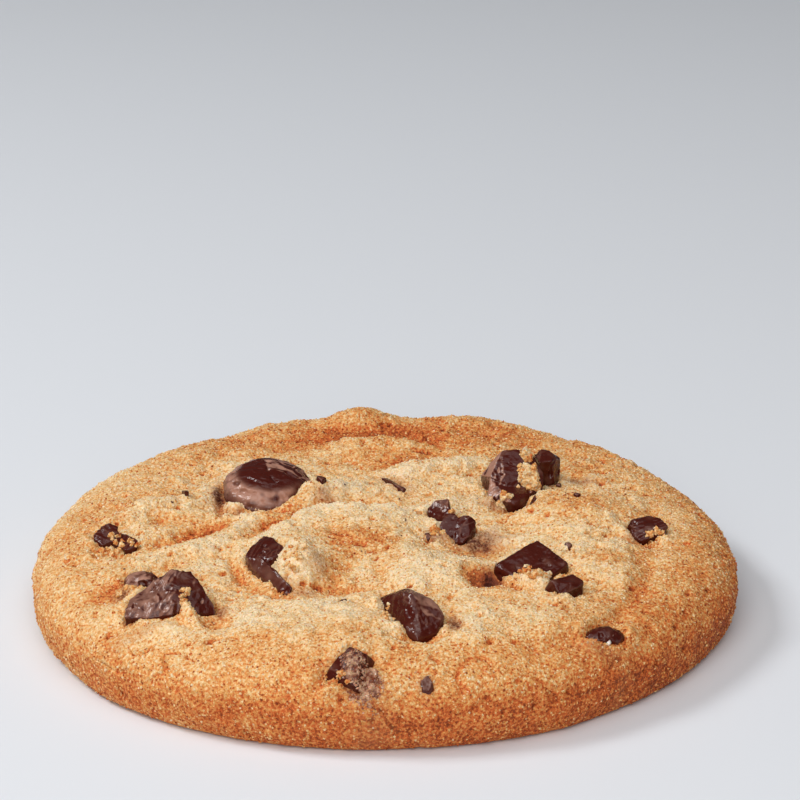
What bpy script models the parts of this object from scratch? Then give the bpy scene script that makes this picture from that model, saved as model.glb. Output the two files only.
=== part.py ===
"""A chocolate chip cookie as it comes off the tray.

One disc of dough, with a rolled rim, a swollen and wrinkled top and a flat underside, and the
pieces of chocolate that sit in pockets in its top. Sizes are in millimetres, and each mesh is
scaled to metres once it is made. X runs to the right, Y to the back, and Z up from the tray.
"""

import math
import random

import bmesh
import bpy
import numpy as np
from mathutils import Matrix, Vector, noise

NAME = "chocolate_chip_cookie"
MM = 0.001

# The disc of dough.
RADIUS = 44.6
RIM_HEIGHT = 10.5
DOME = 0.7  # what the middle gains over the rim
ROLL_SHARE = 0.2  # of the radius: how far in the rim's round shoulder begins
WIDEST_SHARE = 0.42  # of the rim's height: where the side stands out furthest
FOOT_SHARE = 0.956  # of the radius: where the side meets the underside
SHOULDER_FULLNESS = 0.9  # under 1 keeps the shoulder high before it drops
# Each lobe of the outline: waves in a turn, depth, and the bearing of one crest in degrees.
LOBES = ((2, 0.35, 35), (3, 0.2, 228), (4, 0.25, 53), (5, 0.25, -11), (6, 0.2, -3))

# How finely the disc and the chocolate drops are divided.
TOP_CELLS = 42
SIDE_RINGS = 4
DROP_SEGMENTS = 14
DROP_RINGS = 8
WALK_STEPS = 400  # from the middle to the rim, to find the height of the top over one place

# The crumb's own unevenness: size across and height of the small swells.
SWELL_SIZE = 7.0
SWELL_HEIGHT = 0.5
SWELL_SEED = 1.7
EDGE_SWELL_SIZE = 11.0
EDGE_SWELL_DEPTH = 0.25
EDGE_SWELL_SEED = 5.0

# How the mounds and folds of the top fall away.
MOUND_FALL = 0.7  # a mound has dropped to about half its height at the distances given for it
FOLD_END_SHARE = 0.3  # of a fold's length: how far from each end it begins to fade
FOLD_END_HEIGHT = 0.25  # of its height: what is left of it at its very ends

# The chocolate.
CLEARANCE = 0.3  # between a piece and its pocket
EDGE_ROUNDING = 0.45
COLLAR_HEIGHT = 0.35  # of the dough that rises round a piece
COLLAR_WIDTH = 1.6
CORNER_SHIFT = 0.35  # how far a broken block's corners stray
SLUMP = 0.8  # a drop's underside is this much shallower than its dome
SHARP_EDGE = math.radians(40)

# Each piece: where it is, how far its middle stands above the dough, its size, its spin about its
# own upright axis, and its tilt to the front and to the right, in degrees. A block also has the
# share of its size left at the top and how far, as a share of its size, the top leans over.
PIECES = {
    "coin_chip": dict(kind="drop", at=(-15.1, 10.4), rise=0.0, size=(12.2, 12.0, 6.4), spin=0, tilt=(13, 4)),
    "back_chunk": dict(
        kind="block", at=(16.9, 9.2), rise=0.6, size=(8.6, 7.8, 8.0), spin=32, tilt=(8, 6),
        top=(0.6, 0.5), lean=(0.05, 0.1),
    ),
    "back_crumb": dict(
        kind="block", at=(21.6, 14.8), rise=1.3, size=(3.6, 3.8, 4.2), spin=14, tilt=(-6, 12),
        top=(0.8, 0.75), lean=(0.0, 0.0),
    ),
    "middle_chunk": dict(
        kind="block", at=(6.5, 0.5), rise=-0.4, size=(3.2, 4.0, 4.6), spin=24, tilt=(4, -26),
        top=(0.8, 0.6), lean=(0.1, 0.1),
    ),
    "middle_lump": dict(
        kind="block", at=(10.1, -5.5), rise=0.3, size=(5.2, 4.2, 4.8), spin=-24, tilt=(6, 18),
        top=(0.6, 0.7), lean=(0.0, 0.1),
    ),
    "crescent_chip": dict(
        kind="drop", at=(-13.2, -15.4), rise=-2.4, size=(6.8, 13.2, 5.6), spin=18, tilt=(6, -14)
    ),
    "square_chunk": dict(
        kind="block", at=(18.3, -15.6), rise=-1.2, size=(7.0, 7.8, 4.8), spin=-46, tilt=(17, 2),
        top=(0.92, 0.92), lean=(0.0, 0.0),
    ),
    "square_offcut": dict(
        kind="block", at=(22.2, -22.2), rise=-0.5, size=(3.6, 4.4, 4.4), spin=-46, tilt=(16, 14),
        top=(0.7, 0.85), lean=(-0.1, 0.0),
    ),
    "peak_chunk": dict(
        kind="block", at=(-25.2, -24.0), rise=0.6, size=(10.6, 10.0, 6.0), spin=42, tilt=(-2, 3),
        top=(0.12, 0.34), lean=(0.1, 0.14),
    ),
    "peak_offcut": dict(
        kind="drop", at=(-29.4, -17.6), rise=-0.5, size=(4.8, 3.4, 3.0), spin=-8, tilt=(6, -6)
    ),
    "front_drop": dict(kind="drop", at=(3.7, -30.0), rise=-0.2, size=(8.2, 9.0, 6.6), spin=-20, tilt=(22, 6)),
    "shoulder_chunk": dict(
        kind="block", at=(-3.0, -40.2), rise=-1.1, size=(7.2, 6.4, 4.4), spin=-24, tilt=(38, 0),
        top=(0.8, 0.7), lean=(0.0, 0.0),
    ),
    "right_chip": dict(kind="drop", at=(33.5, -2.6), rise=-0.6, size=(5.4, 3.8, 3.4), spin=8, tilt=(4, 6)),
    "lower_right_chip": dict(
        kind="drop", at=(26.1, -30.8), rise=-0.7, size=(5.4, 3.2, 3.2), spin=14, tilt=(8, 8)
    ),
    "left_chip": dict(kind="drop", at=(-33.4, -6.0), rise=-0.7, size=(6.4, 4.4, 3.4), spin=-24, tilt=(4, -8)),
}


def ramp(low, high, value):
    """0 up to low, 1 from high on, and a smooth rise between them."""
    share = np.clip((value - low) / (high - low), 0.0, 1.0)
    return share * share * (3.0 - 2.0 * share)


def swell(x, y, size, seed):
    """Smooth unevenness from about -1 to 1, its lumps about as wide as size."""
    spots = zip(np.ravel(x), np.ravel(y))
    values = [noise.noise(Vector((a / size, b / size, seed))) for a, b in spots]
    return np.reshape(values, np.shape(x))


def mound(x, y, centre, half, high, turn=0, fullness=2.4):
    """A low mound; the fuller it is, the flatter its top and the steeper its sides."""
    angle = math.radians(turn)
    right = (x - centre[0]) * math.cos(angle) + (y - centre[1]) * math.sin(angle)
    back = (y - centre[1]) * math.cos(angle) - (x - centre[0]) * math.sin(angle)
    reach = np.hypot(right / half[0], back / half[1])
    return high * np.exp(-MOUND_FALL * reach**fullness)


def fold(x, y, line, high, left, right):
    """A ridge along a line: it falls away over left on its left side and over right on its right."""
    line = np.array(line, float)
    nearest = np.full(np.shape(x), np.inf)
    side = np.zeros(np.shape(x))
    place = np.zeros(np.shape(x))
    for number, (start, end) in enumerate(zip(line[:-1], line[1:])):
        run = end - start
        length = np.hypot(*run)
        share = np.clip(((x - start[0]) * run[0] + (y - start[1]) * run[1]) / length**2, 0, 1)
        gap = np.hypot(x - start[0] - share * run[0], y - start[1] - share * run[1])
        across = run[0] * (y - start[1]) - run[1] * (x - start[0])
        closer = gap < nearest
        nearest = np.where(closer, gap, nearest)
        side = np.where(closer, np.sign(across), side)
        place = np.where(closer, (number + share) / (len(line) - 1), place)
    width = np.where(side > 0, left, right)
    ends = ramp(0.0, FOLD_END_SHARE, place) * ramp(0.0, FOLD_END_SHARE, 1.0 - place)
    crest = high * (FOLD_END_HEIGHT + (1.0 - FOLD_END_HEIGHT) * ends)
    return crest * np.exp(-((nearest / width) ** 2))


def top_relief(x, y):
    """How far the top stands above or below its plain dome."""
    z = SWELL_HEIGHT * swell(x, y, SWELL_SIZE, SWELL_SEED)
    # The middle: a full swell with a sharp back edge, and a smaller one in front of it.
    z += mound(x, y, (-4.0, -5.5), (10.5, 7.5), 1.5, turn=14, fullness=3.4)
    z += fold(x, y, ((-17, -9), (-13, -5), (-10, -0.8), (-7, 1.4), (-3, 0.6), (6, 2.6)), 1.0, 1.8, 3.2)
    z += mound(x, y, (6.5, -17.0), (7.5, 4.6), 1.5, turn=-18, fullness=3)
    z -= mound(x, y, (10.5, -8.0), (5.0, 2.6), 1.4, turn=-12)
    z += mound(x, y, (-10.2, -15.6), (3.5, 4.6), 2.3, turn=-14, fullness=3)
    z -= fold(x, y, ((-12, -23), (-6, -22), (-1, -20), (1, -14.5), (0, -9.5)), 0.8, 1.8, 1.8)
    # The fold in front of the round chip, and the groove behind the middle swell.
    z += fold(x, y, ((-18, -1), (-14.8, 3.2), (-11, 6.2), (-7, 8.8), (-3, 11)), 1.9, 1.9, 2.4)
    z -= fold(x, y, ((-19, -9), (-15, -2.5), (-10, 3.0), (-4, 4.6), (5, 5.6)), 1.1, 1.8, 1.6)
    # Swells to the right of the middle.
    z += mound(x, y, (24.4, 2.6), (6.8, 6.4), 1.9, turn=-24, fullness=3.2)
    z += mound(x, y, (26.8, -11.5), (5.4, 7.4), 1.0, turn=16, fullness=3)
    z -= fold(x, y, ((15.5, 1), (18, 6.8), (23, 10.6), (30, 7.4)), 0.9, 1.6, 1.2)
    z -= mound(x, y, (17.0, 4.4), (3.0, 1.8), 1.2)
    # Diagonal wrinkles on the left.
    z += fold(x, y, ((-36, -1.5), (-30, 3.8), (-26, 5.4), (-21, 8.5)), 1.3, 1.9, 2.6)
    z -= fold(x, y, ((-35, -10.5), (-25.5, -4.2), (-21, -0.8), (-17, 1.5)), 0.9, 1.8, 1.5)
    z += fold(x, y, ((-32, -14.5), (-26, -10.6), (-22, -8.4), (-18.5, -5)), 1.2, 1.9, 2.2)
    z -= mound(x, y, (-33.5, -20.5), (3.4, 3.4), 1.1)
    z -= mound(x, y, (-20.6, -29.5), (3.8, 2.6), 1.2, turn=-30)
    # The broad swells in front, and the shallow groove that follows the rim.
    z += mound(x, y, (-7.5, -31.5), (11.0, 5.6), 1.1, turn=-4, fullness=3)
    z += mound(x, y, (14.5, -28.0), (9.0, 4.6), 0.8, turn=18, fullness=3)
    rim_groove = ((33, -1), (32.5, -12), (31.5, -20), (27.5, -28), (22, -33.5), (15, -36.8), (3, -38))
    z -= fold(x, y, rim_groove, 0.8, 1.6, 1.5)
    # Ridges and rises towards the back.
    z += fold(x, y, ((-2, 14), (4, 16.8), (9, 19), (16, 20.5)), 1.3, 2.0, 1.8)
    z += fold(x, y, ((-9, 25.5), (-2, 27), (8, 26)), 1.0, 1.8, 2.6)
    z += mound(x, y, (-3.2, 38.0), (4.6, 3.6), 2.2, fullness=3)
    z += mound(x, y, (13.0, 38.0), (7.0, 4.0), 0.9)
    z += mound(x, y, (-12.5, 36.5), (4.4, 3.6), 0.8)
    z -= mound(x, y, (-21.5, 33.5), (4.0, 4.0), 0.5)
    return z


def outline_radius(bearing):
    """The disc's radius towards a bearing in radians."""
    radius = np.full(np.shape(bearing), RADIUS)
    for waves, depth, crest in LOBES:
        radius = radius + depth * np.cos(waves * (bearing - math.radians(crest)))
    return radius


def collars(x, y):
    """The dough that rises in a low ring round each piece of chocolate."""
    z = np.zeros(np.shape(x))
    for piece in PIECES.values():
        reach = math.sqrt(piece["size"][0] * piece["size"][1]) / 2
        gap = np.hypot(x - piece["at"][0], y - piece["at"][1]) - reach
        z += COLLAR_HEIGHT * np.exp(-((gap / COLLAR_WIDTH) ** 2))
    return z


def top_point(reach, bearing):
    """A point on the top or the upper half of the side; reach goes from 0 at the middle to 1."""
    flat = 1.0 - ROLL_SHARE
    widest = WIDEST_SHARE * RIM_HEIGHT
    roll_arc = math.pi / 4 * (ROLL_SHARE * RADIUS + RIM_HEIGHT - widest)
    flat_reach = flat * RADIUS / (flat * RADIUS + roll_arc)
    angle = np.clip((reach - flat_reach) / (1.0 - flat_reach), 0, 1) * math.pi / 2
    share = np.where(reach < flat_reach, reach / flat_reach * flat, flat + ROLL_SHARE * np.sin(angle))
    radius = share * (outline_radius(bearing) + edge_swell(bearing, 1.0) * ramp(flat, 1.0, share))
    x = radius * np.cos(bearing)
    y = radius * np.sin(bearing)
    drop = np.clip(np.cos(angle), 0, 1) ** SHOULDER_FULLNESS
    dome = DOME * (1.0 - ramp(0.0, 0.95, share))
    z = widest + (RIM_HEIGHT - widest + top_relief(x, y) + collars(x, y) + dome) * drop
    return x, y, z


def side_point(fall, bearing):
    """A point on the lower half of the side; fall goes from 0 at the widest line to 1 at the foot."""
    angle = fall * math.pi / 2
    share = 1.0 - (1.0 - FOOT_SHARE) * (1.0 - math.cos(angle))
    radius = share * (outline_radius(bearing) + edge_swell(bearing, 1.0 - fall))
    z = WIDEST_SHARE * RIM_HEIGHT * (1.0 - math.sin(angle))
    return radius * np.cos(bearing), radius * np.sin(bearing), z


def edge_swell(bearing, height_share):
    """How far the side bulges in or out beyond the lobes of the outline."""
    x = RADIUS * np.cos(bearing)
    y = RADIUS * np.sin(bearing)
    return EDGE_SWELL_DEPTH * swell(x, y, EDGE_SWELL_SIZE, EDGE_SWELL_SEED + height_share)


def set_points(points, places):
    """Moves each point to its place."""
    for point, place in zip(points, np.transpose(places)):
        point.co = place


def add_object(name, bm, collection, material):
    """Scales a mesh in millimetres to metres and makes it an object."""
    bmesh.ops.recalc_face_normals(bm, faces=bm.faces)
    bm.transform(Matrix.Scale(MM, 4))
    mesh = bpy.data.meshes.new(name)
    bm.to_mesh(mesh)
    bm.free()
    mesh.materials.append(material)
    made = bpy.data.objects.new(name, mesh)
    collection.objects.link(made)
    return made


def dough_mesh():
    """A square grid drawn out into a disc for the top, rings down the side, and a flat underside."""
    bm = bmesh.new()
    bmesh.ops.create_grid(bm, x_segments=TOP_CELLS, y_segments=TOP_CELLS, size=1.0)
    across = np.array([point.co.x for point in bm.verts])
    along = np.array([point.co.y for point in bm.verts])
    disc_x = across * np.sqrt(1.0 - along**2 / 2)
    disc_y = along * np.sqrt(1.0 - across**2 / 2)
    reach = np.minimum(np.hypot(disc_x, disc_y), 1.0)
    set_points(bm.verts, top_point(reach, np.arctan2(disc_y, disc_x)))
    ring = [edge for edge in bm.edges if edge.is_boundary]
    for number in range(1, SIDE_RINGS + 1):
        made = bmesh.ops.extrude_edge_only(bm, edges=ring)["geom"]
        points = [item for item in made if isinstance(item, bmesh.types.BMVert)]
        ring = [item for item in made if isinstance(item, bmesh.types.BMEdge) and item.is_boundary]
        bearing = np.array([math.atan2(point.co.y, point.co.x) for point in points])
        x, y, z = side_point(number / SIDE_RINGS, bearing)
        set_points(points, (x, y, np.full(len(points), z)))
    # Flat triangles, so that each pocket is cut through one surface and not two readings of it.
    bmesh.ops.triangulate(bm, faces=bm.faces)
    bmesh.ops.holes_fill(bm, edges=ring)
    return bm


def block_mesh(size, top, lean, seed):
    """A block of broken chocolate: a box with its top narrowed and leaning, and uneven corners."""
    stray = random.Random(seed)
    bm = bmesh.new()
    bmesh.ops.create_cube(bm, size=1.0)
    for corner in bm.verts:
        if corner.co.z > 0:
            corner.co.x = corner.co.x * top[0] + lean[0]
            corner.co.y = corner.co.y * top[1] + lean[1]
        for axis in range(3):
            corner.co[axis] = corner.co[axis] * size[axis] + stray.uniform(-CORNER_SHIFT, CORNER_SHIFT)
    return bm


def drop_mesh(size):
    """A chocolate drop that has slumped: a low dome on a shallower, rounded underside."""
    bm = bmesh.new()
    bmesh.ops.create_uvsphere(bm, u_segments=DROP_SEGMENTS, v_segments=DROP_RINGS, radius=0.5)
    for point in bm.verts:
        height = point.co.z * (1.0 if point.co.z > 0 else SLUMP)
        point.co = Vector((point.co.x * size[0], point.co.y * size[1], height * size[2]))
    return bm


def chocolate_piece(name, piece, collection, material):
    """One piece, set in the dough at its place and angle."""
    if piece["kind"] == "block":
        bm = block_mesh(piece["size"], piece["top"], piece["lean"], name)
    else:
        bm = drop_mesh(piece["size"])
    made = add_object(name, bm, collection, material)
    x, y = piece["at"]
    made.location = Vector((x, y, surface_height(x, y) + piece["rise"])) * MM
    made.rotation_mode = "ZXY"
    made.rotation_euler = [math.radians(angle) for angle in (*piece["tilt"], piece["spin"])]
    if piece["kind"] == "block":
        bevel = made.modifiers.new("rounded_edges", "BEVEL")
        bevel.width = EDGE_ROUNDING * MM
        bevel.segments = 2
    made.modifiers.new("flat_faces", "TRIANGULATE")
    made.data.shade_smooth()
    made.data.set_sharp_from_angle(angle=SHARP_EDGE)
    return made


def surface_height(x, y):
    """The height of the top over one place, found by walking out along its bearing."""
    reaches = np.linspace(0.0, 1.0, WALK_STEPS)
    places = top_point(reaches, np.full(WALK_STEPS, math.atan2(y, x)))
    nearest = np.argmin(np.hypot(places[0] - x, places[1] - y))
    return float(places[2][nearest])


def cut_pocket(dough, piece, cutters):
    """Takes the piece, grown by the clearance, out of the dough."""
    cutter = piece.copy()
    cutter.name = piece.name + "_pocket"
    cutters.objects.link(cutter)
    cutter.hide_render = True
    cutter.display_type = "WIRE"
    grow = cutter.modifiers.new("clearance", "DISPLACE")
    grow.strength = CLEARANCE * MM
    grow.mid_level = 0.0
    cut = dough.modifiers.new(cutter.name, "BOOLEAN")
    cut.operation = "DIFFERENCE"
    cut.solver = "EXACT"
    cut.object = cutter


def material(name, colour, roughness):
    """A plain surface in one colour."""
    made = bpy.data.materials.new(name)
    made.use_nodes = True
    shader = made.node_tree.nodes["Principled BSDF"]
    shader.inputs["Base Color"].default_value = (*colour, 1.0)
    shader.inputs["Roughness"].default_value = roughness
    shader.inputs["Metallic"].default_value = 0.0
    return made


def main():
    """Clears the scene and makes the dough, with the pieces of chocolate in it."""
    for old in list(bpy.data.objects):
        bpy.data.objects.remove(old)
    parts = bpy.data.collections.new(NAME)
    cutters = bpy.data.collections.new("pockets")
    for collection in (parts, cutters):
        bpy.context.scene.collection.children.link(collection)
    cutters.hide_render = True

    baked = material("baked_dough", (0.58, 0.30, 0.11), 0.8)
    dark = material("dark_chocolate", (0.06, 0.018, 0.01), 0.35)
    dough = add_object("cookie_dough", dough_mesh(), parts, baked)
    dough.data.shade_smooth()
    for name, piece in PIECES.items():
        cut_pocket(dough, chocolate_piece(name, piece, parts, dark), cutters)


main()
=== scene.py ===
"""The looks of a chocolate chip cookie: baked dough, broken and melted dark chocolate, crumbs and sugar.

The dough is one fine skin over the same named swells and folds as its solid, with the crumb's own
relief on top. Each piece of chocolate is its solid with a finer skin, cut to facets and wrinkled.
Lengths are in millimetres until a mesh is made. X runs to the right, Y to the back, and Z up.
"""

import itertools
import math

import bmesh
import bpy
import numpy as np
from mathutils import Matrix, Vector, noise
from mathutils.bvhtree import BVHTree


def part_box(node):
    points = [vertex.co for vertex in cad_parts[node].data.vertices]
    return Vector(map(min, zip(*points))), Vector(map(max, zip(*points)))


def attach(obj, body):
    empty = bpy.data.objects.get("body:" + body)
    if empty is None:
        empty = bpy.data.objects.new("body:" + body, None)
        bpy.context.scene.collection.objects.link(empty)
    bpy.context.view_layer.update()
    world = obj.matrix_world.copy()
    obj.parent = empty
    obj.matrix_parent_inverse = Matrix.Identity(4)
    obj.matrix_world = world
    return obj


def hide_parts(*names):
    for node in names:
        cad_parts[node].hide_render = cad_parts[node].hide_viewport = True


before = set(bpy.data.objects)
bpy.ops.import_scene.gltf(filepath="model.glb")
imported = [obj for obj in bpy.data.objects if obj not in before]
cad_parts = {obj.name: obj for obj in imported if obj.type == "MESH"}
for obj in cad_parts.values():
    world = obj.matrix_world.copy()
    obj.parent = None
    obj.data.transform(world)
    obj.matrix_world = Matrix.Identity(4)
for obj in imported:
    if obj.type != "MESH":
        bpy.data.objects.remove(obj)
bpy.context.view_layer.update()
MM = 0.001

# The disc of dough, with the sizes of its solid.
RADIUS = 44.6
RIM_HEIGHT = 10.5
DOME = 0.7
ROLL_SHARE = 0.2
WIDEST_SHARE = 0.42
FOOT_SHARE = 0.956
SHOULDER_FULLNESS = 0.9
LOBES = ((2, 0.35, 35), (3, 0.2, 228), (4, 0.25, 53), (5, 0.25, -11), (6, 0.2, -3))
SWELL_SIZE = 7.0
SWELL_HEIGHT = 0.5
SWELL_SEED = 1.7
EDGE_SWELL_SIZE = 11.0
EDGE_SWELL_DEPTH = 0.25
EDGE_SWELL_SEED = 5.0
MOUND_FALL = 0.7
FOLD_END_SHARE = 0.3
FOLD_END_HEIGHT = 0.25

# How finely the dough's skin is divided: cells across the top, and rings down the lower side.
BREAK_ROUNDING = 0.22
TOP_CELLS = 252
SIDE_RINGS = 16
BASE_INSET = 0.8

# The loose grains: how many, how large, how far sunk, and how much more browned than the dough.
GRAINS = (
    ("pale_grains", 24500, 0.36, 0.13, -0.2, 41),
    ("crumb_grains", 24500, 0.4, 0.16, 0.04, 42),
    ("browned_grains", 14000, 0.32, 0.13, 0.24, 43),
)

# Where the crumb stands higher or lower round the chocolate: centre, half sizes, height and turn.
CRUMB_RISES = (
    ((-9.6, -17.8), (2.0, 2.7), 1.3, 22),
    ((-17.8, -15.2), (0.9, 3.2), -0.7, 20),
    ((-13.6, -21.6), (2.8, 1.1), -1.0, -42),
    ((-21.0, 9.6), (0.7, 4.4), -1.4, 0),
    ((-16.6, 3.7), (4.0, 1.2), -2.0, -6),
    ((-31.2, -27.4), (1.8, 2.0), -0.9, 0),
    ((-26.4, -30.4), (1.8, 1.0), 0.6, 0),
    ((-23.0, -28.0), (0.65, 2.6), 1.6, 28),
    ((-20.0, -26.0), (1.4, 2.4), -1.0, 10),
    ((18.4, -20.8), (2.4, 1.3), 1.7, -40),
    ((12.2, -18.6), (2.2, 2.2), -1.6, 0),
    ((14.8, -19.4), (2.6, 0.8), -1.3, -45),
    ((4.4, -34.0), (2.8, 1.6), -1.4, 6),
    ((1.6, -30.8), (1.3, 1.0), -1.2, -40),
    ((-0.6, -27.0), (1.2, 0.9), 0.9, 0),
    ((-13.0, 4.6), (3.0, 1.3), -1.7, 40),
    ((8.4, -30.6), (1.1, 2.4), -0.9, 0),
    ((-34.4, -8.6), (2.4, 1.1), -0.8, -25),
    ((32.4, -6.2), (2.0, 1.0), -0.7, 10),
    ((-6.8, -40.6), (0.9, 2.6), -0.4, -10),
    ((1.0, -43.6), (2.0, 1.0), 0.4, -20),
    ((-5.8, -43.0), (1.4, 0.9), 0.7, 10),
)

# Corners of the pieces that broke into plain facets, as one or more bodies that run together.
CORNERS = {
    "back_chunk": (
        (
            (15.5, 13.3, 15.5), (17.5, 13.1, 15.7), (19.4, 13.4, 15.0), (12.7, 13.0, 12.1), (13.8, 10.2, 13.0),
            (15.8, 8.4, 12.7), (20.8, 10.6, 13.4), (20.8, 9.0, 11.0), (12.9, 13.4, 9.0), (13.8, 10.6, 9.0),
            (15.8, 8.8, 9.0), (20.5, 12.5, 9.0), (18.6, 8.4, 8.8),
        ),
        (
            (13.8, 10.2, 12.7), (13.5, 7.9, 11.2), (15.9, 6.6, 12.0), (16.8, 4.9, 11.2), (17.7, 5.6, 10.4),
            (15.8, 8.8, 12.5), (19.0, 7.4, 11.8), (20.6, 9.8, 11.4), (13.9, 8.4, 8.8), (16.8, 5.6, 8.8),
            (19.0, 7.0, 8.8), (14.0, 10.4, 8.8),
        ),
    ),
    "back_crumb": (
        (
            (19.7, 14.4, 14.5), (20.8, 15.1, 14.9), (22.1, 14.7, 14.7), (23.2, 14.7, 13.8), (23.2, 14.4, 12.0),
            (20.4, 12.2, 14.2), (22.0, 12.5, 14.2), (22.4, 12.8, 11.0), (20.4, 12.4, 10.5), (20.0, 14.0, 9.6),
            (23.0, 14.5, 9.8), (21.0, 16.3, 13.0), (22.8, 16.0, 12.0),
        ),
    ),
    "middle_chunk": (
        (
            (5.4, 0.2, 12.6), (6.6, 0.4, 13.6), (8.3, 0.2, 13.9), (8.4, -1.3, 13.2), (8.9, -2.4, 12.2),
            (6.3, -1.1, 11.6), (8.6, 1.6, 12.4), (6.5, 1.8, 11.0), (6.3, -1.0, 9.4), (8.6, -2.0, 9.4),
            (5.8, 1.4, 9.4), (8.8, 1.2, 9.4),
        ),
    ),
    "middle_lump": (
        (
            (8.1, -2.3, 13.0), (9.0, -2.5, 13.1), (10.1, -3.4, 12.2), (8.4, -5.4, 11.0), (7.0, -3.8, 12.0),
            (7.4, -4.6, 11.2), (8.2, -5.2, 8.4), (8.0, -2.4, 9.0), (10.4, -2.4, 9.0), (9.8, -5.6, 9.0),
        ),
        (
            (9.6, -2.9, 12.9), (10.8, -3.0, 13.2), (11.7, -2.8, 12.3), (11.6, -3.8, 11.6), (10.9, -5.4, 11.2),
            (10.1, -6.2, 10.6), (8.8, -6.0, 10.6), (11.5, -3.4, 8.4), (11.6, -2.6, 9.0), (9.4, -5.8, 8.4),
        ),
    ),
    "crescent_chip": (
        (
            (-14.8, -9.6, 12.9), (-13.6, -10.8, 13.2), (-11.4, -14.4, 12.8), (-16.9, -13.7, 12.1),
            (-16.3, -12.2, 12.6), (-13.3, -15.6, 12.6), (-16.9, -14.0, 10.2), (-15.9, -16.3, 11.2),
            (-14.6, -9.2, 10.0), (-11.0, -13.0, 10.4), (-12.0, -16.0, 9.6),
        ),
        (
            (-16.9, -13.9, 12.0), (-15.8, -16.4, 11.4), (-14.2, -19.0, 10.9), (-12.8, -20.8, 10.7),
            (-11.3, -22.2, 10.2), (-14.8, -15.6, 12.7), (-13.2, -18.9, 12.4), (-12.0, -20.4, 12.0),
            (-10.9, -21.6, 11.2), (-15.6, -16.4, 9.4), (-14.0, -19.0, 9.2), (-11.4, -21.9, 9.0),
            (-10.8, -20.2, 9.2), (-12.8, -16.4, 9.4),
        ),
    ),
    "peak_chunk": (
        (
            (-25.3, -22.3, 14.0), (-24.3, -22.9, 14.0), (-24.5, -26.4, 12.5), (-24.8, -28.4, 10.6),
            (-28.4, -28.0, 10.0), (-30.7, -27.4, 9.9), (-30.5, -24.3, 10.8), (-29.4, -23.6, 11.6),
            (-27.8, -23.4, 12.4), (-26.3, -22.6, 13.4), (-30.4, -27.2, 8.0), (-25.0, -28.2, 8.0),
            (-25.0, -20.4, 8.2), (-29.5, -21.4, 8.2),
        ),
        (
            (-24.3, -22.9, 14.0), (-23.1, -22.3, 13.6), (-22.1, -23.4, 13.2), (-21.2, -24.8, 12.4),
            (-19.9, -26.0, 10.8), (-19.7, -26.8, 10.0), (-24.5, -26.4, 12.5), (-24.6, -27.8, 10.8),
            (-20.2, -26.4, 8.2), (-24.6, -27.6, 8.2), (-22.0, -20.4, 8.2), (-24.6, -20.4, 8.2),
        ),
    ),
    "front_drop": (
        (
            (-0.7, -25.4, 11.8), (3.1, -26.6, 13.4), (6.1, -28.9, 13.1), (3.4, -30.0, 14.4), (7.4, -31.0, 11.9),
            (6.6, -33.0, 10.4), (4.1, -34.3, 10.0), (2.3, -32.5, 10.7), (1.2, -29.2, 11.5), (1.8, -27.2, 8.6),
            (6.6, -27.5, 8.6), (7.2, -31.5, 8.6), (4.0, -33.9, 8.4), (1.6, -30.5, 8.4), (3.4, -25.8, 11.0),
        ),
    ),
    "right_chip": (
        (
            (30.8, -3.2, 11.7), (31.6, -1.6, 11.9), (33.6, -1.3, 12.4), (35.2, -1.9, 12.2), (36.0, -3.4, 11.8),
            (35.4, -4.5, 11.0), (33.4, -4.7, 11.2), (31.0, -2.0, 8.6), (36.0, -2.4, 8.8), (35.0, -4.6, 8.6),
        ),
        (
            (31.2, -4.2, 11.0), (32.3, -5.2, 10.4), (33.6, -5.0, 10.8), (33.8, -3.6, 11.8), (31.2, -3.0, 11.4),
            (31.4, -4.6, 8.6), (33.6, -5.0, 8.6), (33.4, -3.0, 8.6),
        ),
    ),
    "left_chip": (
        (
            (-36.2, -4.4, 11.6), (-34.6, -3.4, 12.2), (-33.2, -4.2, 12.1), (-33.4, -6.4, 11.2), (-35.2, -7.0, 10.6),
            (-36.4, -5.6, 10.8), (-36.2, -4.8, 8.6), (-34.2, -3.6, 8.6), (-33.4, -6.2, 8.6), (-35.2, -7.0, 8.6),
        ),
        (
            (-33.6, -4.8, 11.6), (-32.0, -5.4, 11.6), (-30.5, -7.0, 11.4), (-30.4, -8.2, 11.0), (-32.2, -8.6, 10.6),
            (-34.0, -7.0, 10.8), (-31.0, -7.0, 8.6), (-32.0, -8.4, 8.6), (-33.8, -6.4, 8.6),
        ),
    ),
}

# How many times the skin of a melted piece is eased, so that its corners run round.
MELTED = {"front_drop": 40, "right_chip": 8, "left_chip": 8, "middle_lump": 14, "crescent_chip": 5}

# Flat faces broken on the other chunks: the bearing and the rise of the way each one faces, in
# degrees, and how much it takes off.
BREAKS = {
    "square_offcut": ((290, 35, 0.4), (150, 60, 0.3)),
    "shoulder_chunk": ((325, 25, 1.8), (150, 35, 1.3), (235, 30, 0.9)),
}

# Skins wrinkled as they set: the bearing that the wrinkles run along, their spacing and height.
WRINKLES = {
    "coin_chip": (-12, 0.7, 0.22),
    "crescent_chip": (70, 0.7, 0.14),
    "front_drop": (-48, 0.8, 0.2),
    "peak_chunk": (60, 0.75, 0.3),
    "peak_offcut": (10, 0.7, 0.3),
    "right_chip": (20, 0.7, 0.3),
    "lower_right_chip": (75, 0.7, 0.3),
    "left_chip": (-30, 0.8, 0.3),
    "middle_lump": (40, 1.0, 0.16),
    "shoulder_chunk": (-30, 1.2, 0.25),
    "square_offcut": (45, 0.9, 0.2),
}

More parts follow.
